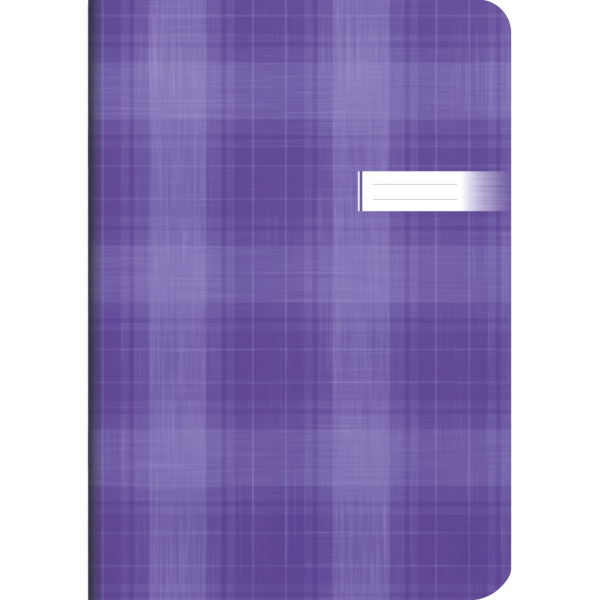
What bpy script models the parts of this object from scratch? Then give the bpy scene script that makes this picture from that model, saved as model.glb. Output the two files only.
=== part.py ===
"""Stapled A5 vocabulary notebook with a stepped A to Z thumb index.

A card cover and nested paper sheets are folded once round a common fold axis
that runs along Y at half the notebook's thickness.  The notebook lies closed on
its back cover: +Z up through the front cover, +Y towards the head (top edge),
the fold at -X and the fore-edge at +X.  The origin is the middle of the
underside.  Everything that turns does so about the fold axis, apart from the
front cover, which turns on the crease beside the fold.
"""

import math

import bmesh
import bpy

MM = 0.001

# ---------------------------------------------------------------- dimensions, mm
PAGE_H = 210.0  # A5 upright
PAGE_W = 148.0  # outside of the fold to the fore-edge
CARD = 0.30  # cover card
LEAF_PAIR = 0.20  # the two leaves of one letter
PAIR_PITCH = 0.22  # from one letter to the next, with the air between them
CORE_R = 0.28  # radius left free along the fold axis, where the staples close
SHEET_PAIRS = 12  # nested pairs of folded sheets, two letters each
COVER_CLEAR = 0.06  # between the outermost sheet and the card
LEAF_START = 0.30  # where a leaf leaves its fold, from the fold axis
LEAF_INSET = 0.15  # leaves end this far inside the cover

HEAD_CORNER_R = 11.75  # rounded fore-edge corner at the head
TAIL_CORNER_R = 16.65  # wider rounded corner at the tail
TAIL_CORNER_RUN = 15.25  # of which this much lies along the tail edge
TAIL_TURN_R = 6.0  # tighter arc that turns the tail corner into the fore-edge

TAB_DEPTH = 7.0  # how far the index steps are cut in
TAB_END = 14.0  # first and last tab, with the rounded corners
TAB_OUTER_R = 1.8  # rounding of a tab's free corner
TAB_INNER_R = 1.2  # rounding where the cut turns

CREASE_X = 2.6  # cover crease, from the fold axis
CREASE_LIFT = 0.05  # crease axis above the outside of the card
CREASE_GAP = 0.05  # half the gap at the crease

WIRE_R = 0.225  # staple wire
STAPLE_Y = 52.5  # staples sit at plus and minus this along the fold
CROWN_HALF = 6.3  # half the distance between a staple's legs
WIRE_BEND_R = 0.5
CLINCH_END = 1.2  # the closed legs stop this far from the staple's middle
CROWN_PROUD = 0.11  # crown left standing out of the card

# ------------------------------------------------------------- derived, mm
HALF_T = CORE_R + PAIR_PITCH * (SHEET_PAIRS - 1) + LEAF_PAIR + COVER_CLEAR + CARD
THICK = 2 * HALF_T
X_RIGHT = (PAGE_W + CROWN_PROUD) / 2
AXIS_X = X_RIGHT - PAGE_W + HALF_T
AXIS_Z = HALF_T
REACH = X_RIGHT - AXIS_X  # fold axis to the fore-edge of the cover
CROWN_R = HALF_T + CROWN_PROUD - WIRE_R

LETTERS = [chr(ord("a") + i) for i in range(23)] + ["xyz"]
TAB_PITCH = (PAGE_H - 2 * TAB_END) / (len(LETTERS) - 2)


# ---------------------------------------------------------------- small helpers
def srgb(r, g, b):
    """A display colour, 0 to 255, as the linear colour a shader takes."""
    out = []
    for c in (r, g, b):
        c /= 255.0
        out.append(c / 12.92 if c <= 0.04045 else ((c + 0.055) / 1.055) ** 2.4)
    return (*out, 1.0)


def material(name, colour, roughness, metallic=0.0):
    m = bpy.data.materials.new(name)
    m.use_nodes = True
    shader = m.node_tree.nodes["Principled BSDF"]
    shader.inputs["Base Color"].default_value = colour
    shader.inputs["Roughness"].default_value = roughness
    shader.inputs["Metallic"].default_value = metallic
    m.diffuse_color = colour
    return m


def finish(name, bm, origin, mat, parent=None):
    """A named object from a bmesh in millimetres about its origin."""
    bmesh.ops.recalc_face_normals(bm, faces=bm.faces[:])
    bmesh.ops.scale(bm, vec=(MM, MM, MM), verts=bm.verts[:])
    mesh = bpy.data.meshes.new(name)
    bm.to_mesh(mesh)
    bm.free()
    obj = bpy.data.objects.new(name, mesh)
    bpy.context.scene.collection.objects.link(obj)
    obj.location = [c * MM for c in origin]
    mesh.materials.append(mat)
    if parent is not None:
        hang(obj, parent)
    return obj


def hang(obj, parent):
    """Parents an object and keeps it where it is."""
    obj.parent = parent
    obj.location = obj.location - parent.location


def arc(cx, cy, r, start, stop, steps):
    """Points on an arc, both ends included, angles in degrees."""
    return [
        (
            cx + r * math.cos(math.radians(start + (stop - start) * i / steps)),
            cy + r * math.sin(math.radians(start + (stop - start) * i / steps)),
        )
        for i in range(steps + 1)
    ]


# -------------------------------------------------------------- flat sheets
def outline(left, inset, cut=None):
    """Outline of a leaf or a panel about the fold axis, anticlockwise from the tail.

    left is the edge by the fold.  cut is the height below which the fore-edge is
    stepped back by the index, or None for a sheet with no step.
    """
    right = REACH - inset
    head, tail = PAGE_H / 2 - inset, -PAGE_H / 2 + inset
    tail_r = TAIL_CORNER_R - inset
    tail_cx, tail_cy = REACH - TAIL_CORNER_RUN, -PAGE_H / 2 + TAIL_CORNER_R
    head_r = HEAD_CORNER_R - inset
    head_cx, head_cy = REACH - HEAD_CORNER_R, PAGE_H / 2 - HEAD_CORNER_R

    points = [(left, tail)]
    if cut is None:
        # the wide arc of the tail corner, then the tighter one
        wide, run = TAIL_CORNER_R - TAIL_TURN_R, TAIL_CORNER_RUN - TAIL_TURN_R
        turn = -math.degrees(math.acos(run / wide))
        turn_cx, turn_cy = tail_cx + run, tail_cy - math.sqrt(wide**2 - run**2)
        points += arc(tail_cx, tail_cy, tail_r, -90, turn, 6)
        points += arc(turn_cx, turn_cy, TAIL_TURN_R - inset, turn, 0, 3)[1:]
    else:
        # up the cut edge, round into the step, out along it and round the tab
        lower_right = right - TAB_DEPTH
        stop = -math.degrees(math.acos((lower_right - tail_cx) / tail_r))
        points += arc(tail_cx, tail_cy, tail_r, -90, stop, 6)
        points += arc(
            lower_right + TAB_INNER_R, cut - TAB_INNER_R, TAB_INNER_R, 180, 90, 3
        )
        points += arc(right - TAB_OUTER_R, cut + TAB_OUTER_R, TAB_OUTER_R, -90, 0, 3)
    points += arc(head_cx, head_cy, head_r, 0, 90, 8)
    points.append((left, head))
    return points


def slab(points, z0, z1):
    """A flat sheet from its outline."""
    bm = bmesh.new()
    face = bm.faces.new([bm.verts.new((x, y, z0)) for x, y in points])
    grown = bmesh.ops.extrude_face_region(bm, geom=[face])
    moved = [g for g in grown["geom"] if isinstance(g, bmesh.types.BMVert)]
    bmesh.ops.translate(bm, vec=(0, 0, z1 - z0), verts=moved)
    bmesh.ops.triangulate(bm, faces=[f for f in bm.faces if len(f.verts) > 4])
    return bm


# ------------------------------------------------------------ folded sheets
def folded(stations, rows, is_slot):
    """A folded strip along Y with slots through it.

    stations are (inner point, outer point) pairs round the fold, in the X-Z
    plane about the fold axis; rows are heights along Y.  is_slot(i, j) says
    whether the cell after station i and row j is cut away.
    """
    bm = bmesh.new()
    grid = {}

    def vert(i, j, side):
        key = (i, j, side)
        if key not in grid:
            x, z = stations[i][side]
            grid[key] = bm.verts.new((x, rows[j], z))
        return grid[key]

    across, along = len(stations) - 1, len(rows) - 1

    def solid(i, j):
        return 0 <= i < across and 0 <= j < along and not is_slot(i, j)

    for i in range(across):
        for j in range(along):
            if not solid(i, j):
                continue
            corner = [(i, j), (i + 1, j), (i + 1, j + 1), (i, j + 1)]
            for side in (0, 1):
                bm.faces.new([vert(*c, side) for c in corner])
            beside = [(i, j - 1), (i + 1, j), (i, j + 1), (i - 1, j)]
            for n, cell in enumerate(beside):
                if not solid(*cell):
                    a, b = corner[n], corner[(n + 1) % 4]
                    bm.faces.new([vert(*a, 0), vert(*b, 0), vert(*b, 1), vert(*a, 1)])
    return bm


def polar(r, degrees):
    a = math.radians(degrees)
    return (r * math.cos(a), r * math.sin(a))


def leg_rows(half_length):
    """Heights along the fold where the slots for the staples' legs start and stop."""
    rows = [-half_length]
    for middle in (-STAPLE_Y, STAPLE_Y):
        for leg in (-CROWN_HALF, CROWN_HALF):
            inner = -0.75 if leg > 0 else -0.30
            outer = 0.30 if leg > 0 else 0.75
            rows += [middle + leg + inner, middle + leg + outer]
    return rows + [half_length]


def sheet_fold(r_in, r_out):
    """The folded part of one pair of sheets, slotted where the legs go through."""
    steps = 8
    step = 180.0 / steps
    need = math.degrees(math.asin(min(1.0, (WIRE_R + 0.025) / r_in)))
    clear = max(1, math.ceil((need - 1.0) / step))
    angles = [270 - step * i for i in range(steps + 1)]
    stations = [(polar(r_in, a), polar(r_out, a)) for a in angles]
    rows = leg_rows(PAGE_H / 2 - LEAF_INSET)
    middle = steps // 2

    def is_slot(i, j):
        return j % 2 == 1 and middle - clear <= i < middle + clear

    return folded(stations, rows, is_slot)


def spine_fold():
    """The folded part of the cover, up to the crease, with a slot for each crown."""
    r_in, r_out = HALF_T - CARD, HALF_T
    slot = 5.8
    lower = [270 - (90 - slot) * i / 8 for i in range(9)]
    upper = [180 - slot - (90 - slot) * i / 8 for i in range(9)]
    angles = lower + upper
    stations = [((LEAF_START - 0.1, -r_in), (LEAF_START - 0.1, -r_out))]
    stations += [(polar(r_in, a), polar(r_out, a)) for a in angles]
    end = CREASE_X - CREASE_GAP
    stations.append(((end, r_in), (end, r_out)))
    half = CROWN_HALF + WIRE_R + 0.2
    rows = [-PAGE_H / 2]
    for middle in (-STAPLE_Y, STAPLE_Y):
        rows += [middle - half, middle + half]
    rows.append(PAGE_H / 2)
    gap = 1 + len(lower) - 1  # the cell between the two runs of angles

    def is_slot(i, j):
        return j % 2 == 1 and i == gap

    return folded(stations, rows, is_slot)


# ------------------------------------------------------------------ staples
def staple(name, y, mat):
    """One closed wire staple, in the plane of the fold axis, its origin on the axis."""
    crown_x = -CROWN_R
    inside = CROWN_HALF - WIRE_BEND_R
    half = [(0.0, CLINCH_END)]
    half += [
        (px, py)
        for px, py in arc(-WIRE_BEND_R, inside, WIRE_BEND_R, 0, 90, 4)
    ]
    half += [
        (px, py)
        for px, py in arc(crown_x + WIRE_BEND_R, inside, WIRE_BEND_R, 90, 180, 4)
    ]
    path = half + [(px, -py) for px, py in reversed(half)]
    curve = bpy.data.curves.new(name, "CURVE")
    curve.dimensions = "3D"
    curve.bevel_depth = WIRE_R * MM
    curve.bevel_resolution = 2
    curve.use_fill_caps = True
    spline = curve.splines.new("POLY")
    spline.points.add(len(path) - 1)
    for point, (px, py) in zip(spline.points, path):
        point.co = (px * MM, py * MM, 0.0, 1.0)
    obj = bpy.data.objects.new(name, curve)
    bpy.context.scene.collection.objects.link(obj)
    obj.location = (AXIS_X * MM, y * MM, AXIS_Z * MM)
    curve.materials.append(mat)
    return obj


# -------------------------------------------------------------------- build
def main():
    for old in list(bpy.data.objects):
        bpy.data.objects.remove(old, do_unlink=True)

    axis = (AXIS_X, 0.0, AXIS_Z)
    holder = bpy.data.objects.new("fold_axis", None)
    holder.empty_display_size = 0.01
    bpy.context.scene.collection.objects.link(holder)
    holder.location = [c * MM for c in axis]

    card = {
        "front_cover": material("front_cover_card", srgb(107, 87, 161), 0.42),
        "back_cover": material("back_cover_card", srgb(107, 87, 161), 0.42),
        "cover_spine": material("cover_spine_card", srgb(70, 62, 100), 0.42),
    }
    wire = {
        n: material(n + "_wire", srgb(186, 188, 192), 0.28, 1.0)
        for n in ("staple_head", "staple_tail")
    }

    # the card cover, folded round everything else
    inner = HALF_T - CARD
    finish(
        "back_cover",
        slab(outline(LEAF_START, 0.0), -HALF_T, -inner),
        axis,
        card["back_cover"],
        holder,
    )
    finish("cover_spine", spine_fold(), axis, card["cover_spine"], holder)
    crease = (AXIS_X + CREASE_X, 0.0, THICK + CREASE_LIFT)
    panel = slab(outline(CREASE_X + CREASE_GAP, 0.0), inner, HALF_T)
    bmesh.ops.translate(
        panel, vec=(-CREASE_X, 0, AXIS_Z - crease[2]), verts=panel.verts[:]
    )
    finish("front_cover", panel, crease, card["front_cover"])

    # the leaves of each letter: the first half of the alphabet above the fold
    # axis with the first letter outermost, the second half below it
    for i, letter in enumerate(LETTERS):
        front = i < SHEET_PAIRS
        rank = SHEET_PAIRS - 1 - i if front else i - SHEET_PAIRS
        low = CORE_R + PAIR_PITCH * rank
        z0, z1 = (low, low + LEAF_PAIR) if front else (-low - LEAF_PAIR, -low)
        last = i == len(LETTERS) - 1
        cut = None if last else PAGE_H / 2 - TAB_END - TAB_PITCH * i
        name = "leaves_" + letter
        paper = material(name + "_paper", srgb(246, 245, 240), 0.85)
        finish(name, slab(outline(LEAF_START, LEAF_INSET, cut), z0, z1), axis, paper, holder)

    # the folds that join each front letter to its partner at the back
    for i in range(SHEET_PAIRS):
        low = CORE_R + PAIR_PITCH * (SHEET_PAIRS - 1 - i)
        name = f"fold_{LETTERS[i]}_{LETTERS[-1 - i]}"
        paper = material(name + "_paper", srgb(240, 239, 234), 0.85)
        finish(name, sheet_fold(low, low + LEAF_PAIR), axis, paper, holder)

    hang(staple("staple_head", STAPLE_Y, wire["staple_head"]), holder)
    hang(staple("staple_tail", -STAPLE_Y, wire["staple_tail"]), holder)
    bpy.context.view_layer.update()


main()
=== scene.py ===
"""Looks of the stapled A5 vocabulary notebook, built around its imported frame.

Lengths are in millimetres about the fold axis unless a name says otherwise, and
turn into metres when a mesh is made.
"""

import math
import random

import bmesh
import bpy
import numpy as np
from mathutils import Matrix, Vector


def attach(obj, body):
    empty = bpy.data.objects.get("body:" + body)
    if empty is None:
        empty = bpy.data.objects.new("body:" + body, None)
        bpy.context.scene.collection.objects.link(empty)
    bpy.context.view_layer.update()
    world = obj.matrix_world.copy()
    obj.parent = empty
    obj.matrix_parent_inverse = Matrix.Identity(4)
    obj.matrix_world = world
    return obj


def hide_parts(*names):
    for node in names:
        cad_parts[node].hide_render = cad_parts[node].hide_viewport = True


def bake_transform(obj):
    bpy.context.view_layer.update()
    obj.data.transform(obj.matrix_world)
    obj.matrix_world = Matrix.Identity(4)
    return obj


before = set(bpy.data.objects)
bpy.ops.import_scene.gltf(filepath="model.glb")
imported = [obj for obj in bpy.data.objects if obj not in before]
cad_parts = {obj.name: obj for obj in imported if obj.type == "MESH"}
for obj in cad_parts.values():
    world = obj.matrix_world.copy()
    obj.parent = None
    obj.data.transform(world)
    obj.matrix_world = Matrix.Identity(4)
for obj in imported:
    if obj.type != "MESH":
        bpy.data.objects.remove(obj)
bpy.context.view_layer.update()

MM = 0.001
random.seed(24)

# ------------------------------------------------------------- dimensions, mm
PAGE_H, PAGE_W = 210.0, 148.0
CARD = 0.30
LEAF_PAIR, PAIR_PITCH, CORE_R = 0.20, 0.22, 0.28
HALF_T = 3.26
AXIS_X, AXIS_Z = -70.685, 3.26
REACH = 144.74
HEAD_R, TAIL_R, TAIL_RUN, TAIL_TURN_R = 11.75, 16.65, 15.25, 6.0
LEAF_INSET = 0.15
TAB_DEPTH, TAB_END, TAB_OUTER_R, TAB_INNER_R = 7.0, 14.0, 1.8, 1.2
CREASE_X = 2.6
WIRE_R, STAPLE_Y, CROWN_HALF, BEND_R, CLINCH_END = 0.225, 52.5, 6.3, 0.5, 1.2
CROWN_R = 3.145
LETTERS = [chr(ord("a") + i) for i in range(23)] + ["xyz"]
TAB_PITCH = (PAGE_H - 2 * TAB_END) / (len(LETTERS) - 2)
QUARTER = HALF_T * math.pi / 2  # from the outermost line of the fold to its tangent


def srgb(r, g, b):
    """An 8-bit display colour as linear RGBA."""
    out = []
    for c in (r, g, b):
        c /= 255
        out.append(c / 12.92 if c <= 0.04045 else ((c + 0.055) / 1.055) ** 2.4)
    return (*out, 1.0)


# ------------------------------------------------------------------ materials
class Graph:
    """A material's node tree, with short calls for the nodes used here."""

    def __init__(self, name):
        self.mat = bpy.data.materials.new(name)
        self.mat.use_nodes = True
        self.tree = self.mat.node_tree
        self.tree.nodes.clear()
        self.out = self.node("ShaderNodeOutputMaterial")
        self.bsdf = self.node("ShaderNodeBsdfPrincipled")
        self.tree.links.new(self.bsdf.outputs[0], self.out.inputs[0])

    def node(self, kind, **props):
        n = self.tree.nodes.new(kind)
        for key, value in props.items():
            setattr(n, key, value)
        return n

    def put(self, socket, value):
        if isinstance(value, bpy.types.NodeSocket):
            self.tree.links.new(value, socket)
        else:
            socket.default_value = value

    def set(self, name, value):
        self.put(self.bsdf.inputs[name], value)

    def math(self, op, a, b=0.0, c=None, clamp=False):
        n = self.node("ShaderNodeMath", operation=op, use_clamp=clamp)
        self.put(n.inputs[0], a)
        self.put(n.inputs[1], b)
        if c is not None:
            self.put(n.inputs[2], c)
        return n.outputs[0]

    def add(self, a, b):
        return self.math("ADD", a, b)

    def sub(self, a, b):
        return self.math("SUBTRACT", a, b)

    def mul(self, a, b):
        return self.math("MULTIPLY", a, b)

    def scaled(self, a, gain, offset):
        return self.math("MULTIPLY_ADD", a, gain, offset)

    def smooth(self, x, lo, hi, to_lo=0.0, to_hi=1.0):
        n = self.node("ShaderNodeMapRange", interpolation_type="SMOOTHSTEP")
        for k, v in enumerate((x, lo, hi, to_lo, to_hi)):
            self.put(n.inputs[k], v)
        return n.outputs[0]

    def between(self, x, lo, hi, soft):
        """1 where lo < x < hi, with soft edges."""
        return self.mul(
            self.smooth(x, lo - soft, lo + soft), self.smooth(x, hi - soft, hi + soft, 1.0, 0.0)
        )

    def vec(self, x, y, z=0.0):
        n = self.node("ShaderNodeCombineXYZ")
        for k, v in enumerate((x, y, z)):
            self.put(n.inputs[k], v)
        return n.outputs[0]

    def split(self, v):
        n = self.node("ShaderNodeSeparateXYZ")
        self.put(n.inputs[0], v)
        return n.outputs

    def uv_mm(self, name):
        """The two coordinates of a UV map that is laid out at 100 mm to the unit, in mm."""
        s = self.split(self.node("ShaderNodeUVMap", uv_map=name).outputs[0])
        return self.mul(s[0], 100.0), self.mul(s[1], 100.0)

    def noise(self, v, scale=1.0, detail=2.0, rough=0.5, distort=0.0):
        n = self.node("ShaderNodeTexNoise")
        self.put(n.inputs["Vector"], v)
        n.inputs["Scale"].default_value = scale
        n.inputs["Detail"].default_value = detail
        n.inputs["Roughness"].default_value = rough
        n.inputs["Distortion"].default_value = distort
        return n.outputs[0]

    def ramp(self, fac, stops, interpolation="LINEAR"):
        n = self.node("ShaderNodeValToRGB")
        r = n.color_ramp
        r.interpolation = interpolation
        while len(r.elements) < len(stops):
            r.elements.new(0.5)
        for e, (pos, col) in zip(r.elements, stops):
            e.position = pos
            e.color = col if isinstance(col, tuple) else (col, col, col, 1.0)
        self.put(n.inputs[0], fac)
        return n.outputs[0]

    def mix(self, fac, a, b, blend="MIX"):
        n = self.node("ShaderNodeMix", data_type="RGBA", blend_type=blend)
        self.put(n.inputs[0], fac)
        self.put(n.inputs[6], a)
        self.put(n.inputs[7], b)
        return n.outputs[2]

    def attribute(self, name):
        return self.node("ShaderNodeAttribute", attribute_name=name).outputs["Fac"]

    def bump(self, height, distance, strength=1.0, under=None):
        n = self.node("ShaderNodeBump")
        n.inputs["Strength"].default_value = strength
        n.inputs["Distance"].default_value = distance
        self.put(n.inputs["Height"], height)
        if under is not None:
            self.put(n.inputs["Normal"], under)
        return n.outputs[0]


def sett(bands, soft):
    """Stops of a repeating stripe: bands are (end, tone) in shares of the repeat."""
    stops = [(0.0, bands[0][1])]
    for (end, tone), (_, following) in zip(bands, bands[1:]):
        stops += [(end - soft, tone), (end + soft, following)]
    return stops + [(1.0, bands[-1][1])]


def cover_print():
    """Laminated violet print: a brushed check with loose threads and a plain label."""
    g = Graph("cover_print")
    u, v = g.uv_mm("PrintMap")
    repeat = 64.0

    # threads that run along one direction, broken into strokes
    warp = g.noise(g.vec(g.mul(u, 0.9), g.mul(v, 0.03)), detail=4.0, rough=0.65)
    weft = g.noise(g.vec(g.mul(u, 0.03), g.mul(v, 0.9), 7.0), detail=4.0, rough=0.65)
    warp_fine = g.noise(g.vec(g.mul(u, 4.5), g.mul(v, 0.10), 3.0), detail=2.0)
    weft_fine = g.noise(g.vec(g.mul(u, 0.10), g.mul(v, 4.5), 11.0), detail=2.0)
    cloud = g.noise(g.vec(g.mul(u, 0.025), g.mul(v, 0.025), 2.0), detail=3.0)
    grain = g.noise(g.vec(u, v, 5.0), scale=3.2, detail=3.0, rough=0.7)

    # a check of wide light bands between narrow ones, the same both ways
    stripe = sett(
        [
            (0.085, 0.12), (0.095, 0.62), (0.190, 0.12), (0.235, 0.40), (0.262, 0.10),
            (0.345, 0.46), (0.655, 0.82), (0.738, 0.46), (0.765, 0.10), (0.810, 0.40),
            (0.905, 0.12), (0.915, 0.62), (1.0, 0.12),
        ],
        0.0024,
    )
    ragged = g.scaled(g.noise(g.vec(g.mul(u, 0.05), g.mul(v, 0.8), 23.0), detail=3.0), 0.30, -0.15)
    frayed = g.scaled(g.noise(g.vec(g.mul(u, 0.8), g.mul(v, 0.05), 29.0), detail=3.0), 0.30, -0.15)
    across = g.math("FRACT", g.scaled(g.add(u, ragged), 1 / repeat, -0.022))
    along = g.math("FRACT", g.scaled(g.add(v, frayed), 1 / repeat, 0.3594))
    warp_tone = g.mul(g.ramp(across, stripe), g.scaled(warp, 1.1, 0.45))
    weft_tone = g.mul(g.ramp(along, stripe), g.scaled(weft, 1.1, 0.45))
    under = g.mul(g.scaled(warp_tone, -0.64, 1.0), g.scaled(weft_tone, -0.50, 1.0))
    tone = g.sub(1.0, under)

    # long loose strokes that gather in places
    place = g.smooth(cloud, 0.42, 0.60)
    upright = g.smooth(g.noise(g.vec(g.mul(u, 1.7), g.mul(v, 0.018), 43.0), detail=3.0), 0.54, 0.66)
    level = g.smooth(g.noise(g.vec(g.mul(u, 0.018), g.mul(v, 1.7), 47.0), detail=3.0), 0.54, 0.66)
    tone = g.add(tone, g.mul(g.mul(upright, place), 0.15))
    tone = g.add(tone, g.mul(g.mul(level, g.scaled(place, -1.0, 1.0)), 0.13))
    tone = g.add(tone, g.scaled(warp_fine, 0.14, -0.07))
    tone = g.add(tone, g.scaled(weft_fine, 0.14, -0.07))
    tone = g.add(tone, g.scaled(cloud, 0.16, -0.08))
    tone = g.add(tone, g.mul(v, 0.0005))  # lighter towards the head
    tone = g.math("ADD", tone, g.scaled(grain, 0.06, -0.03), clamp=True)
    colour = g.ramp(
        tone,
        [
            (0.0, srgb(82, 52, 139)), (0.13, srgb(87, 58, 143)), (0.30, srgb(95, 68, 151)),
            (0.50, srgb(109, 88, 163)), (0.70, srgb(128, 111, 179)), (1.0, srgb(155, 140, 199)),
        ],
    )
    drift = g.noise(g.vec(g.mul(u, 0.045), g.mul(v, 0.02), 53.0), detail=2.0)
    colour = g.mix(g.smooth(drift, 0.40, 0.62, 0.0, 0.5), colour, srgb(236, 242, 252), "MULTIPLY")

    # painted shade of the rounded fold darkens the print along it
    fold = g.math("ABSOLUTE", u)
    painted_fold_shade = g.ramp(
        g.mul(fold, 0.1),
        [
            (0.0, (0.090, 0.095, 0.110, 1.0)), (0.16, (0.095, 0.105, 0.125, 1.0)),
            (0.28, (0.190, 0.235, 0.212, 1.0)), (0.36, (0.32, 0.41, 0.325, 1.0)),
            (0.44, (0.50, 0.66, 0.475, 1.0)), (0.50, (0.60, 0.74, 0.57, 1.0)), (0.58, (0.68, 0.78, 0.65, 1.0)),
            (0.70, (0.92, 0.96, 0.89, 1.0)), (0.80, (1.0, 1.0, 1.0, 1.0)),
        ],
    )
    colour = g.mix(1.0, colour, painted_fold_shade, "MULTIPLY")

    # white writing panel that fades into the print, with a thin bar at its left
    high = g.between(v, 31.07, 44.90, 0.06)
    streak = g.noise(g.vec(g.mul(u, 1.4), g.mul(v, 0.02), 21.0), detail=3.0)
    drag = g.noise(g.vec(g.mul(u, 0.02), g.mul(v, 1.3), 27.0), detail=3.0, rough=0.6)
    reach = g.add(u, g.scaled(streak, 1.6, -0.8))
    reach = g.add(reach, g.mul(g.scaled(drag, 9.0, -4.5), g.smooth(u, 132.0, 142.0)))
    fade = g.ramp(
        g.scaled(reach, 1 / 22.0, -132.0 / 22.0),
        [(0.0, 1.0), (0.10, 0.86), (0.34, 0.55), (0.50, 0.37), (0.60, 0.26), (0.70, 0.13), (0.80, 0.04), (0.90, 0.0)],
    )
    paper = g.ramp(
        fade, [(0.0, srgb(190, 176, 224)), (0.55, srgb(218, 210, 242)), (1.0, srgb(252, 252, 254))]
    )
    panel = g.mul(g.mul(high, g.smooth(u, 97.80, 97.92)), fade)
    bar = g.mul(high, g.between(u, 96.33, 96.87, 0.06))
    gap = g.mul(high, g.between(u, 96.87, 97.86, 0.06))
    rule = g.mul(
        g.between(u, 101.5, 131.0, 0.1),
        g.math("ADD", g.between(v, 35.00, 35.20, 0.05), g.between(v, 40.30, 40.50, 0.05), clamp=True),
    )
    white = g.mix(rule, paper, srgb(150, 146, 160))
    colour = g.mix(g.mul(gap, 0.55), colour, srgb(60, 46, 108))
    colour = g.mix(panel, colour, white)
    colour = g.mix(bar, colour, srgb(243, 238, 252))

    # painted shade darkens the print a little along the edges, which the knife rolls over, and the film is rubbed
    # through there in places
    edge = g.attribute("edge_mm")
    painted_edge_shade = g.smooth(edge, 0.05, 0.38, 0.42, 0.0)
    colour = g.mix(painted_edge_shade, colour, srgb(96, 84, 132), "MULTIPLY")
    rub = g.noise(g.vec(u, v, 9.0), scale=0.55, detail=5.0, rough=0.7)
    worn = g.mul(
        g.smooth(edge, 0.03, 0.40, 1.0, 0.0), g.smooth(rub, 0.54, 0.70)
    )
    colour = g.mix(g.mul(worn, 0.35), colour, srgb(206, 198, 224))
    g.set("Base Color", colour)

    scuff = g.noise(g.vec(g.mul(u, 0.35), g.mul(v, 0.22), 13.0), detail=6.0, rough=0.65)
    dull = g.add(g.mul(worn, 0.25), g.smooth(fold, 1.5, 3.2, 0.45, 0.0))  # rubbed round the fold
    g.set("Roughness", g.add(g.scaled(scuff, 0.16, 0.34), dull))
    g.set("Specular IOR Level", 0.30)
    wave = g.noise(g.vec(g.mul(u, 0.018), g.mul(v, 0.014), 17.0), detail=1.0)
    peel = g.noise(g.vec(u, v, 19.0), scale=1.6, detail=3.0)
    height = g.add(g.mul(wave, 1.0), g.mul(peel, 0.012))
    height = g.add(height, g.mul(grain, 0.006))
    g.set("Normal", g.bump(height, 0.0006, 0.6))
    return g.mat


def card_inside():
    """White uncoated inner side of the card."""
    g = Graph("card_inside")
    u, v = g.uv_mm("PrintMap")
    fibre = g.noise(g.vec(g.mul(u, 1.0), g.mul(v, 0.6)), scale=1.8, detail=6.0, rough=0.7, distort=0.6)
    cloud = g.noise(g.vec(u, v, 4.0), scale=0.12, detail=3.0)
    tone = g.math("ADD", g.mul(fibre, 0.85), g.mul(cloud, 0.15))
    # the card is scored along its crease, and painted shade greys it a little there
    crease = g.math("ABSOLUTE", g.sub(g.math("ABSOLUTE", u), QUARTER + CREASE_X + 0.5))
    painted_crease_shade = g.smooth(crease, 0.15, 0.8, 0.35, 0.0)
    g.set(
        "Base Color",
        g.mix(
            painted_crease_shade,
            g.ramp(tone, [(0.30, srgb(240, 238, 234)), (0.5, srgb(244, 243, 240)), (0.7, srgb(247, 246, 244))]),
            srgb(205, 202, 202),
        ),
    )
    g.set("Roughness", g.scaled(fibre, 0.2, 0.62))
    g.set("Specular IOR Level", 0.3)
    g.set("Normal", g.bump(fibre, 0.00002, 0.7))
    return g.mat


def card_edge():
    """Cut edge of the card: grey-white pulp in layers, with a trace of the print."""
    g = Graph("card_edge")
    u, v = g.uv_mm("PrintMap")
    pulp = g.noise(g.vec(u, v), scale=2.6, detail=5.0, rough=0.7)
    g.set(
        "Base Color",
        g.ramp(pulp, [(0.32, srgb(196, 188, 206)), (0.5, srgb(224, 220, 226)), (0.68, srgb(240, 238, 238))]),
    )
    g.set("Roughness", g.scaled(pulp, 0.15, 0.75))
    g.set("Specular IOR Level", 0.25)
    g.set("Normal", g.bump(pulp, 0.00004, 0.8))
    return g.mat


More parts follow.
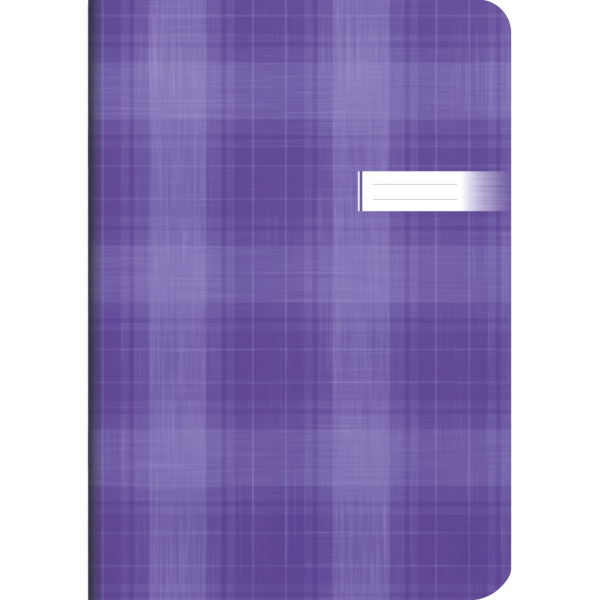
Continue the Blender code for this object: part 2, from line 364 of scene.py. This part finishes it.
def leaf_paper():
    """White writing paper with feint ruling, a column rule and a tinted index tab."""
    g = Graph("leaf_paper")
    u, v = g.uv_mm("PageMap")
    tone = g.attribute("leaf_tone")
    fibre = g.noise(g.vec(g.mul(u, 0.8), v, g.mul(tone, 40.0)), scale=1.5, detail=6.0, rough=0.72, distort=0.8)
    cloud = g.noise(g.vec(u, v, g.mul(tone, 60.0)), scale=0.10, detail=3.0)
    mottle = g.math("ADD", g.mul(fibre, 0.85), g.mul(cloud, 0.15))
    mottle = g.add(mottle, g.scaled(tone, 0.12, -0.06))
    colour = g.ramp(
        mottle,
        [(0.30, srgb(243, 242, 237)), (0.5, srgb(247, 246, 242)), (0.70, srgb(250, 249, 246))],
    )
    ink = g.scaled(g.noise(g.vec(u, v, 31.0), scale=2.4, detail=3.0), 0.5, 0.62)

    # feint every 8 mm below the head margin
    inside = g.between(v, -96.0, 86.5, 0.2)
    near = g.mul(
        g.math("ABSOLUTE", g.sub(g.math("FRACT", g.scaled(v, 1 / 8.0, 0.5 - 82.0 / 8.0 + 20.0)), 0.5)), 8.0
    )
    feint = g.mul(g.mul(g.smooth(near, 0.07, 0.17, 1.0, 0.0), inside), ink)
    colour = g.mix(g.mul(feint, 0.9), colour, srgb(150, 146, 200))
    # column rule down the middle of the page
    rule = g.mul(g.between(u, 66.86, 67.18, 0.05), ink)
    colour = g.mix(g.mul(rule, 0.9), colour, srgb(134, 112, 182))
    # head line
    head = g.mul(g.between(v, 89.85, 90.10, 0.05), ink)
    colour = g.mix(g.mul(head, 0.9), colour, srgb(134, 112, 182))

    # index tab
    tab = g.split(g.node("ShaderNodeUVMap", uv_map="TabMap").outputs[0])
    patch = g.mul(g.smooth(tab[0], 0.085, 0.105), g.between(tab[1], 0.03, 0.97, 0.008))
    speck = g.noise(g.vec(u, v, 37.0), scale=4.0, detail=4.0, rough=0.75)
    tint = g.ramp(speck, [(0.30, srgb(112, 92, 166)), (0.62, srgb(124, 104, 176))])
    colour = g.mix(patch, colour, tint)
    g.set("Base Color", colour)
    g.set("Roughness", g.scaled(fibre, 0.18, 0.66))
    g.set("Specular IOR Level", 0.28)
    g.set("Normal", g.bump(fibre, 0.000012, 0.8))
    return g.mat


def leaf_edge():
    """Trimmed edge of a leaf."""
    g = Graph("leaf_edge")
    u, v = g.uv_mm("PageMap")
    tone = g.attribute("leaf_tone")
    pulp = g.noise(g.vec(u, v, g.mul(tone, 50.0)), scale=1.1, detail=5.0, rough=0.7)
    pulp = g.add(pulp, g.scaled(tone, 0.30, -0.15))
    g.set(
        "Base Color",
        g.ramp(pulp, [(0.25, srgb(218, 214, 206)), (0.5, srgb(234, 231, 225)), (0.75, srgb(244, 243, 239))]),
    )
    g.set("Roughness", g.scaled(pulp, 0.1, 0.78))
    g.set("Specular IOR Level", 0.2)
    return g.mat


def tab_ink():
    """Letters left white in the tabs' tint."""
    g = Graph("tab_letter")
    u, v = g.uv_mm("PageMap")
    speck = g.noise(g.vec(u, v, 41.0), scale=5.0, detail=4.0, rough=0.7)
    g.set("Base Color", g.ramp(speck, [(0.25, srgb(228, 224, 238)), (0.5, srgb(247, 246, 250))]))
    g.set("Roughness", g.scaled(speck, 0.15, 0.65))
    g.set("Specular IOR Level", 0.28)
    return g.mat


def wire_steel():
    """Drawn and zinc-plated wire."""
    g = Graph("staple_steel")
    u, v = g.uv_mm("WireMap")
    drawn = g.noise(g.vec(g.mul(u, 0.5), g.mul(v, 18.0)), detail=4.0, rough=0.6)
    spot = g.noise(g.vec(u, v, 6.0), scale=2.2, detail=4.0, rough=0.7)
    tone = g.math("ADD", g.mul(drawn, 0.5), g.mul(spot, 0.5))
    g.set(
        "Base Color",
        g.ramp(tone, [(0.30, srgb(150, 152, 156)), (0.5, srgb(192, 194, 198)), (0.7, srgb(216, 217, 220))]),
    )
    g.set("Metallic", 1.0)
    g.set("Roughness", g.scaled(spot, 0.30, 0.18))
    g.set("Normal", g.bump(drawn, 0.00001, 0.6))
    return g.mat


# ------------------------------------------------------------------- geometry
class Shape:
    """A mesh gathered vertex by vertex, with its maps and weights."""

    def __init__(self):
        self.co, self.uv, self.tab = [], [], []
        self.weight, self.edge, self.tone = [], [], []
        self.faces, self.mats, self.soft, self.spots = [], [], [], []
        self.run = {}

    def vert(self, x, y, z, uv, tab=(-9.0, -9.0), weight=0.0, edge=9.0, tone=0.0):
        """A point given about the fold axis."""
        self.co.append(((AXIS_X + x) * MM, y * MM, (AXIS_Z + z) * MM))
        self.uv.append((uv[0] / 100, uv[1] / 100))
        self.tab.append(tab)
        self.weight.append(weight)
        self.edge.append(edge)
        self.tone.append(tone)
        return len(self.co) - 1

    def face(self, ids, mat=0, soft=False, region=None, spots=None):
        """A face, and where its corners lie in a region of the layout."""
        self.faces.append(ids)
        self.mats.append(mat)
        self.soft.append(soft)
        self.spots.append((region, spots or [self.uv[k] for k in ids]))

    def wall(self, a, b, mat, soft=False, closed=False, region=None, strip=False):
        """Quads between two rows of vertices. A strip lies in its region by its length."""
        n = len(a)
        for k in range(n if closed else n - 1):
            j = (k + 1) % n
            spots = None
            if strip:
                low = self.run.get(region, 0.0)
                high = self.run[region] = low + math.dist(self.co[a[k]], self.co[a[j]])
                spots = [(0.0, low), (0.0, high), (1.0, high), (1.0, low)]
            self.face((a[k], a[j], b[j], b[k]), mat, soft, region, spots)

    def lay_out(self, mesh, regions):
        """A map where no two faces share a place: each region's faces fill its box."""
        found = {}
        for region, spots in self.spots:
            found.setdefault(region, []).extend(spots)
        limits = {r: (np.min(at, axis=0), np.max(at, axis=0)) for r, at in found.items()}
        uv = np.empty((len(mesh.loops), 2), dtype=np.float32)
        for poly, ids, (region, spots) in zip(mesh.polygons, self.faces, self.spots):
            (lo_s, lo_t), (hi_s, hi_t) = limits[region]
            x0, y0, x1, y1 = regions[region]
            place = dict(zip(ids, spots))
            for k in poly.loop_indices:
                s, t = place[mesh.loops[k].vertex_index]
                uv[k, 0] = (x0 + (x1 - x0) * (s - lo_s) / (hi_s - lo_s)) / 1024
                uv[k, 1] = (y0 + (y1 - y0) * (t - lo_t) / (hi_t - lo_t)) / 1024
        mesh.uv_layers.new(name="OFBake").data.foreach_set("uv", uv.ravel())

    def build(self, name, materials, uv_name, with_tab=False, regions=None):
        mesh = bpy.data.meshes.new(name)
        mesh.from_pydata(self.co, [], self.faces)
        for m in materials:
            mesh.materials.append(m)
        mesh.polygons.foreach_set("material_index", self.mats)
        mesh.polygons.foreach_set("use_smooth", self.soft)
        bm = bmesh.new()
        bm.from_mesh(mesh)
        bmesh.ops.recalc_face_normals(bm, faces=bm.faces[:])
        bm.to_mesh(mesh)
        bm.free()
        corner = np.empty(len(mesh.loops), dtype=np.int32)
        mesh.loops.foreach_get("vertex_index", corner)
        layers = [(uv_name, self.uv)] + ([("TabMap", self.tab)] if with_tab else [])
        for layer, values in layers:
            data = np.array(values, dtype=np.float32)[corner]
            mesh.uv_layers.new(name=layer).data.foreach_set("uv", data.ravel())
        if regions:
            self.lay_out(mesh, regions)
        for key, values in (("edge_mm", self.edge), ("leaf_tone", self.tone)):
            mesh.attributes.new(key, "FLOAT", "POINT").data.foreach_set(
                "value", np.array(values, dtype=np.float32)
            )
        mesh.update()
        obj = bpy.data.objects.new(name, mesh)
        bpy.context.scene.collection.objects.link(obj)
        return obj


def set_weights(weights):
    """Makes an array of a folded piece's turning shares, and keeps nothing of it."""
    np.array(weights, dtype=np.float32)


def at(x, y, z):
    """A point about the fold axis in metres in the part's frame."""
    return ((AXIS_X + x) * MM, y * MM, (AXIS_Z + z) * MM)


def arc(cx, cy, r, start, stop, steps):
    out = []
    for k in range(steps + 1):
        a = math.radians(start + (stop - start) * k / steps)
        out.append((cx + r * math.cos(a), cy + r * math.sin(a)))
    return out


# the tail corner: a wide arc, and a tighter one that turns it into the fore-edge
TAIL_C = (REACH - TAIL_RUN, -PAGE_H / 2 + TAIL_R)
TURN_C = (
    REACH - TAIL_TURN_R,
    TAIL_C[1] - math.sqrt((TAIL_R - TAIL_TURN_R) ** 2 - (TAIL_RUN - TAIL_TURN_R) ** 2),
)
TAIL_TURN = -math.degrees(math.acos((TAIL_RUN - TAIL_TURN_R) / (TAIL_R - TAIL_TURN_R)))


def tail_corner(inset, wide, tight):
    """The tail corner from the tail edge to the fore-edge, in so many steps."""
    points = arc(*TAIL_C, TAIL_R - inset, -90, TAIL_TURN, wide)
    return points + arc(*TURN_C, TAIL_TURN_R - inset, TAIL_TURN, 0, tight)[1:]


def fore_edge(inset):
    """The cover's fore-edge from tail to head as (x, y), corners included."""
    head_cx, head_cy = REACH - HEAD_R, PAGE_H / 2 - HEAD_R
    rows = tail_corner(inset, 16, 6)
    low = rows[-1][1]
    for k in range(1, 26):
        rows.append((REACH - inset, low + (head_cy - low) * k / 26))
    return rows + arc(head_cx, head_cy, HEAD_R - inset, 0, 90, 20)


def edge_distance(x, y):
    """How far a point of a panel is from the cut edge."""
    d = min(PAGE_H / 2 - abs(y), REACH - x)
    cx, cy, r = REACH - HEAD_R, PAGE_H / 2 - HEAD_R, HEAD_R
    if x > cx and y > cy:
        d = min(d, r - math.hypot(x - cx, y - cy))
    for (cx, cy), r, lo, hi in ((TAIL_C, TAIL_R, -90, TAIL_TURN), (TURN_C, TAIL_TURN_R, TAIL_TURN, 0)):
        if lo <= math.degrees(math.atan2(y - cy, x - cx)) <= hi:
            d = min(d, r - math.hypot(x - cx, y - cy))
    return max(d, 0.0)


EDGE = 0.05  # softened edge of the card
# boxes of the cover's layout, out of 1024 each way; the inner side is mirrored
COVER_REGIONS = {
    "outer": (6, 6, 766, 1018), "inner": (974, 6, 782, 1018),
    "rim0": (984, 6, 988, 1018), "rim1": (998, 6, 1003, 1018), "rim2": (1013, 6, 1017, 1018),
}


def card_sheet(columns, weights):
    """A stretch of the card cover.

    columns are functions of the fore-edge's place in a row that give a point of
    the outer face, the direction into the card, and the print's coordinate.
    """
    s = Shape()
    rows = {inset: fore_edge(inset) for inset in (0.0, EDGE)}
    n_row, n_col = len(rows[0.0]), len(columns)
    depth = (0.0, EDGE, CARD - EDGE, CARD)

    def point(j, i, layer):
        xr, y = rows[EDGE if layer in (0, 3) else 0.0][j]
        x, z, nx, nz, u = columns[i](xr)
        d = depth[layer]
        return s.vert(
            x + nx * d, y, z + nz * d, (u, y), weight=weights[i], edge=edge_distance(x if abs(z) > HALF_T - 1e-6 and x > 0 else 0.0, y)
        )

    outer = [[point(j, i, 0) for i in range(n_col)] for j in range(n_row)]
    inner = [[point(j, i, 3) for i in range(n_col)] for j in range(n_row)]
    for grid, mat, region in ((outer, 0, "outer"), (inner, 1, "inner")):
        for j in range(n_row - 1):
            for i in range(n_col - 1):
                s.face((grid[j][i], grid[j][i + 1], grid[j + 1][i + 1], grid[j + 1][i]), mat, True, region)
    loop = [(0, i) for i in range(n_col)]
    loop += [(j, n_col - 1) for j in range(1, n_row)]
    loop += [(n_row - 1, i) for i in range(n_col - 2, -1, -1)]
    loop += [(j, 0) for j in range(n_row - 2, 0, -1)]
    rings = [
        [outer[j][i] for j, i in loop],
        [point(j, i, 1) for j, i in loop],
        [point(j, i, 2) for j, i in loop],
        [inner[j][i] for j, i in loop],
    ]
    for k, mat in enumerate((0, 2, 1)):
        s.wall(rings[k], rings[k + 1], mat, closed=True, region=f"rim{k}", strip=True)
    return s


def panel_columns(start, first, side):
    """Columns of a flat panel from start to the fore-edge, side 1 front or -1 back."""
    cols = []

    def flat(place):
        return lambda xr: (place(xr), side * HALF_T, 0.0, -side, side * (place(xr) + QUARTER))

    for x in first:
        cols.append(flat(lambda xr, x=x: start + x))
    wide = start + first[-1]
    for k in range(1, 9):
        cols.append(flat(lambda xr, k=k: wide + (xr - 6.0 - wide) * k / 8))
    for off in (3.2, 1.6, 0.8, 0.35, 0.12, 0.0):
        cols.append(flat(lambda xr, off=off: xr - off))
    return cols


NEAR_CREASE = (0.0, 0.12, 0.25, 0.4, 0.55, 0.7, 0.85, 1.0, 1.2, 1.6, 2.4, 4.0, 7.0, 12.0, 20.0, 32.0)
CREASE_RUN = 1.0  # the front panel's turning shares rise to one over this width beside its crease


def make_cover(mats):
    # back panel, fold and the strip up to the crease, one piece of card
    back = panel_columns(0.0, (0.0, 1.0, 2.5, 5.0, 10.0, 20.0, 32.0), -1)[::-1]
    weights = [0.0] * len(back)
    steps = 36
    for k in range(1, steps + 1):
        a = math.radians(270 - 180 * k / steps)
        back.append(
            lambda xr, a=a: (
                HALF_T * math.cos(a), HALF_T * math.sin(a), -math.cos(a), -math.sin(a),
                (math.pi - a) * HALF_T,
            )
        )
        weights.append(k / steps)
    for x in (0.4, 1.0, 1.7, 2.2, CREASE_X):
        back.append(lambda xr, x=x: (x, HALF_T, 0.0, -1.0, x + QUARTER))
        weights.append(1.0)
    s = card_sheet(back, weights)
    wrap = s.build("cover_back_and_fold", mats, "PrintMap", regions=COVER_REGIONS)
    wrap.data.set_sharp_from_angle(angle=math.radians(32))
    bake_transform(wrap)
    set_weights(s.weight)
    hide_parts("back_cover", "cover_spine")

    front = panel_columns(CREASE_X, NEAR_CREASE, 1)
    weights = [min(x / CREASE_RUN, 1.0) for x in NEAR_CREASE]
    weights += [1.0] * (len(front) - len(weights))
    s = card_sheet(front, weights)
    panel = s.build("cover_front", mats, "PrintMap", regions=COVER_REGIONS)
    panel.data.set_sharp_from_angle(angle=math.radians(32))
    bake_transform(panel)
    set_weights(s.weight)
    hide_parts("front_cover")


def cut_height(i):
    return None if i == len(LETTERS) - 1 else PAGE_H / 2 - TAB_END - TAB_PITCH * i


def leaf_outline(left, inset, cut):
    """Outline of a leaf about the fold axis, anticlockwise from the tail."""
    right = REACH - inset
    points = [(left, -PAGE_H / 2 + inset)]
    if cut is None:
        points += tail_corner(inset, 12, 5)
    else:
        r, lower = TAIL_R - inset, REACH - LEAF_INSET - TAB_DEPTH
        stop = -math.degrees(math.acos((lower - TAIL_C[0]) / r))
        points += arc(*TAIL_C, r, -90, stop, 14)
        points += arc(lower + TAB_INNER_R, cut - TAB_INNER_R, TAB_INNER_R, 180, 90, 6)
        points += arc(right - TAB_OUTER_R, cut + TAB_OUTER_R, TAB_OUTER_R, -90, 0, 7)
    points += arc(REACH - HEAD_R, PAGE_H / 2 - HEAD_R, HEAD_R - inset, 0, 90, 16)
    return points + [(left, PAGE_H / 2 - inset)]


def letter_mesh(text, size):
    """Upright letters as a thin solid centred on the origin, in mm."""
    curve = bpy.data.curves.new("letter", "FONT")
    curve.body, curve.size = text, size
    curve.align_x = "CENTER"
    curve.resolution_u = 5
    curve.extrude = 0.004
    obj = bpy.data.objects.new("letter", curve)
    bpy.context.scene.collection.objects.link(obj)
    graph = bpy.context.evaluated_depsgraph_get()
    mesh = bpy.data.meshes.new_from_object(obj.evaluated_get(graph))
    bm = bmesh.new()
    bm.from_mesh(mesh)
    bmesh.ops.remove_doubles(bm, verts=bm.verts[:], dist=0.0005)
    bm.verts.index_update()
    co = np.array([v.co[:] for v in bm.verts])
    faces = [tuple(v.index for v in f.verts) for f in bm.faces]
    bm.free()
    middle = (co.min(axis=0) + co.max(axis=0)) / 2
    bpy.data.objects.remove(obj)
    bpy.data.curves.remove(curve)
    bpy.data.meshes.remove(mesh)
    co -= middle
    co[:, 1] += 0.004 * co[:, 0] ** 2  # bars bow by a hair, so no cap has three points in line
    return co, faces


FOLD_STEPS = 12
SHEET = 0.094  # one leaf
# the sheets are pierced for the legs: from SLOT_Y[0] to SLOT_Y[1] off a staple's
# middle, over the fold and SLOT_X into the leaf
SLOT_X, SLOT_Y = 0.35, (5.5, 6.6)
SLOTS = sorted(
    sorted(middle + side * y for y in SLOT_Y) for middle in (-STAPLE_Y, STAPLE_Y) for side in (-1, 1)
)
EVEN_PITCH = 0.1225  # from leaf to leaf once the block lies even, away from the fold
LEAF_COLUMNS = (
    0.0, 0.6, 1.2, 2.0, 3.0, 4.5, 6.5, 9.0, 12.0, 16.0, 21.0, 27.0, 34.0, 42.0, 52.0, 64.0, 78.0, 93.0, 108.0, 122.0,
)
OPEN_DEG, FAN_DEG = 179.9, 0.6  # the opened halves fan by this much from letter to letter


def eased(x, lo, hi):
    t = min(max((x - lo) / (hi - lo), 0.0), 1.0)
    return t * t * (3 - 2 * t)


def spring(x):
    """How much steeper than further out a leaf stands beside the fold."""
    return 1.0 + 1.3 * math.exp(-x / 12.0) if x < LEAF_COLUMNS[-1] else 1.0


def turn_share(i, x):
    """Share of its letter's turn that a leaf makes at a distance from the fold."""
    if i >= 12:
        return spring(x)
    return (OPEN_DEG - FAN_DEG * i * spring(x)) / (OPEN_DEG - FAN_DEG * i)


def leaf_heights(i, k):
    """Distance of leaf k (0 inner, 1 outer) of letter i from the fold's middle
    plane, to its nearer face: beside the fold, and where the block lies even."""
    rank = 11 - i if i < 12 else i - 12
    by_fold = CORE_R + PAIR_PITCH * rank + k * (LEAF_PAIR - SHEET)
    return by_fold, EVEN_PITCH * (2 * rank + k + 0.5) - SHEET / 2


def leaf_regions(front):
    """Boxes of a letter's layout, out of 1024 each way. The sides that face each
    other between the two leaves are small, and undersides are mirrored."""
    boxes = {
        "side0": (6, 6, 466, 1018), "side1": (950, 524, 984, 1018),
        "side2": (950, 66, 984, 512), "side3": (478, 6, 938, 1018),
        "letter": (950, 6, 984, 54), "edge0": (994, 6, 999, 1018), "edge1": (1010, 6, 1015, 1018),
    }
    for name in ("side0", "side2") if front else ("side1", "side3"):
        x0, y0, x1, y1 = boxes[name]
        boxes[name] = (x1, y0, x0, y1)
    return boxes


def add_leaf(s, i, k, inset, tone):
    """One leaf of letter i; a leaf of the front half carries its sheet's fold."""
    front = i < 12
    side = 1 if front else -1
    cut = cut_height(i)
    base = cut if cut is not None else -PAGE_H / 2
    tall = TAB_END if i in (0, len(LETTERS) - 1) else TAB_PITCH
    tab_x = REACH - LEAF_INSET - TAB_DEPTH
    tail, head = -PAGE_H / 2 + inset, PAGE_H / 2 - inset
    by_fold, even = leaf_heights(i, k)
    points = leaf_outline(LEAF_COLUMNS[-1], inset, cut)

    def vert(x, y, z, u, weight):
        return s.vert(
            x, y, z, (u, y), ((x - tab_x) / TAB_DEPTH, (y - base) / tall), weight, tone=tone
        )

    rows = [tail] + [y for slot in SLOTS for y in slot] + [head]
    solid = range(0, len(rows), 2)  # the rows that a stretch of paper starts from
    flats, folds, tails, heads = [], [], [], []
    edge = dict(region=f"edge{k}", strip=True)
    for thick in (0.0, SHEET):
        side_of = f"side{2 * k + (thick > 0)}"
        flat = [vert(x, y, side * (even + thick), x, 1.0) for x, y in points]
        fold = []  # columns with a point at each row
        if front:
            h = by_fold + thick
            first = turn_share(i, 0.0)
            for m in range(FOLD_STEPS):
                a = math.radians(270 - 180 * m / FOLD_STEPS)
                place = (h * math.sin(a), -h * (a - math.pi / 2), first * m / FOLD_STEPS)
                fold.append([vert(h * math.cos(a), y, *place) for y in rows])
        for x in (0.0, SLOT_X):
            fold.append([vert(x, y, side * (by_fold + thick), x, turn_share(i, x)) for y in rows])
        low, high = [], []
        for x in LEAF_COLUMNS[1:-1]:
            h = by_fold + (even - by_fold) * eased(x, 1.0, 16.0) + thick
            for line, y in ((low, tail), (high, head)):
                line.append(vert(x, y, side * h, x, turn_share(i, x)))
        s.face(tuple(flat), 0, region=side_of)
        for a, b in zip(fold, fold[1:]):
            for r in solid:
                s.face((a[r], a[r + 1], b[r + 1], b[r]), 0, True, side_of)
        s.face((*fold[-1], high[0], low[0]), 0, True, side_of)
        s.wall(low + [flat[0]], high + [flat[-1]], 0, soft=True, region=side_of)
        flats.append(flat)
        folds.append(fold)
        tails.append([c[0] for c in fold] + low + [flat[0]])
        heads.append([c[-1] for c in fold] + high + [flat[-1]])
    for inner, outer in (flats, tails, heads):
        s.wall(inner, outer, 1, **edge)
    inner, outer = folds
    for r in solid:
        s.wall(inner[0][r : r + 2], outer[0][r : r + 2], 1, **edge)
    for r in range(1, len(rows) - 1):
        s.wall([c[r] for c in inner], [c[r] for c in outer], 1, **edge)
    for r in range(1, len(rows) - 1, 2):
        s.wall(inner[-1][r : r + 2], outer[-1][r : r + 2], 1, **edge)


def add_letter(s, i, z, tone):
    """The letter on its tab, on the upper side of the upper leaf."""
    last = i == len(LETTERS) - 1
    co, faces = letter_mesh(LETTERS[i].upper(), 2.5 if last else 5.6)
    x = REACH - LEAF_INSET - TAB_DEPTH / 2 + 0.2
    if i == 0:
        y = cut_height(0) + 4.6
    elif last:
        x, y = x - 0.3, -PAGE_H / 2 + TAB_END - 4.0
    else:
        y = cut_height(i) + TAB_PITCH / 2
    first = len(s.co)
    for p in co:
        s.vert(x + p[0], y + p[1], z + 0.0055 + p[2], (x + p[0], y + p[1]), weight=1.0, tone=tone)
    for f in faces:
        s.face(tuple(first + k for k in f), 2, region="letter")


def make_leaves(mats):
    for i, name in enumerate(LETTERS):
        front = i < 12
        s = Shape()
        for k in range(2):
            add_leaf(s, i, k, LEAF_INSET + 0.10 * random.random(), random.random())
        if front:
            top = leaf_heights(i, 1)[1] + SHEET
        else:
            top = -leaf_heights(i, 0)[1]
        add_letter(s, i, top, random.random())
        obj = s.build("leaf_pair_" + name, mats, "PageMap", with_tab=True, regions=leaf_regions(front))
        obj.data.set_sharp_from_angle(angle=math.radians(32))
        body = "leaves_" + name
        low = leaf_heights(i, 0)[0]
        at(0, 0, low)
        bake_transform(obj)
        set_weights(s.weight)
        if front:
            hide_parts(body, f"fold_{name}_{LETTERS[-1 - i]}")
        else:
            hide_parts(body)


def make_staple(name, y0, mat):
    """A closed wire staple with chisel-cut ends."""
    inside = CROWN_HALF - BEND_R
    half = [(0.0, CLINCH_END), (0.0, CLINCH_END + 0.35)]
    half += [(0.0, CLINCH_END + 0.35 + (inside - CLINCH_END - 0.35) * k / 4) for k in range(1, 4)]
    half += arc(-BEND_R, inside, BEND_R, 0, 90, 8)
    half += arc(-CROWN_R + BEND_R, inside, BEND_R, 90, 180, 8)
    half += [(-CROWN_R, inside * k / 4) for k in (3, 2, 1)]
    path = half + [(-CROWN_R, 0.0)] + [(x, -y) for x, y in reversed(half)]
    sides = 14
    s = Shape()
    rings, run = [], 0.0
    for k, (x, y) in enumerate(path):
        a, b = path[max(k - 1, 0)], path[min(k + 1, len(path) - 1)]
        t = Vector((b[0] - a[0], b[1] - a[1])).normalized()
        if k:
            run += math.dist(path[k - 1], path[k])
        end = k in (0, len(path) - 1)
        ring = []
        for m in range(sides):
            q = 2 * math.pi * m / sides
            across, up = math.cos(q) * WIRE_R, math.sin(q) * WIRE_R
            lean = 0.0
            if end:
                lean = (1 if k else -1) * (0.22 * up)
                up *= 0.72
            ring.append(
                s.vert(
                    x - t.y * across + t.x * lean, y0 + y + t.x * across + t.y * lean, up,
                    (run, q * WIRE_R),
                )
            )
        rings.append(ring)
    for a, b in zip(rings, rings[1:]):
        s.wall(a, b, 0, soft=True, closed=True)
    s.face(tuple(rings[0]), 0)
    s.face(tuple(rings[-1]), 0)
    obj = s.build(name + "_wire", [mat], "WireMap")
    obj.data.set_sharp_from_angle(angle=math.radians(40))
    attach(obj, "staples")
    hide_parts(name)


make_cover([cover_print(), card_inside(), card_edge()])
make_leaves([leaf_paper(), leaf_edge(), tab_ink()])
steel = wire_steel()
make_staple("staple_head", STAPLE_Y, steel)
make_staple("staple_tail", -STAPLE_Y, steel)


# ---------------------------------------------------------------------- stage
def make_floor():
    mesh = bpy.data.meshes.new("studio_floor")
    r, z = 3.0, -0.0002
    mesh.from_pydata([(-r, -r, z), (r, -r, z), (r, r, z), (-r, r, z)], [], [(0, 1, 2, 3)])
    g = Graph("studio_floor")
    g.set("Base Color", (0.50, 0.50, 0.50, 1.0))
    g.set("Roughness", 0.9)
    g.set("Specular IOR Level", 0.1)
    g.set("Emission Color", (1.0, 1.0, 1.0, 1.0))
    g.set("Emission Strength", 0.68)
    mesh.materials.append(g.mat)
    floor = bpy.data.objects.new("studio_floor", mesh)
    bpy.context.scene.collection.objects.link(floor)


def make_light(name, place, size, watts):
    lamp = bpy.data.lights.new(name, "AREA")
    lamp.shape, lamp.size, lamp.energy = "SQUARE", size, watts
    obj = bpy.data.objects.new(name, lamp)
    obj.location = place
    obj.rotation_euler = (Vector((0.0, 0.0, 0.0)) - Vector(place)).to_track_quat("-Z", "Y").to_euler()
    bpy.context.scene.collection.objects.link(obj)


make_floor()
make_light("key", (0.55, 0.45, 1.15), 0.9, 6.6)
make_light("fill", (-0.75, -0.35, 0.95), 0.9, 2.4)

world = bpy.data.worlds.new("studio")
world.use_nodes = True
sky = next(n for n in world.node_tree.nodes if n.type == "BACKGROUND")
sky.inputs[0].default_value = (1.0, 1.0, 1.0, 1.0)
sky.inputs[1].default_value = 0.66
bpy.context.scene.world = world
bpy.context.scene.view_settings.view_transform = "Standard"

# straight down on the cover, as in the photograph
lens = bpy.data.cameras.new("camera")
lens.lens, lens.sensor_width = 200.0, 36.0
lens.clip_start, lens.clip_end = 0.01, 20.0
camera = bpy.data.objects.new("camera", lens)
camera.location = (0.000274, 0.000015, 0.00652 + 1.1635)
bpy.context.scene.collection.objects.link(camera)
bpy.context.scene.camera = camera
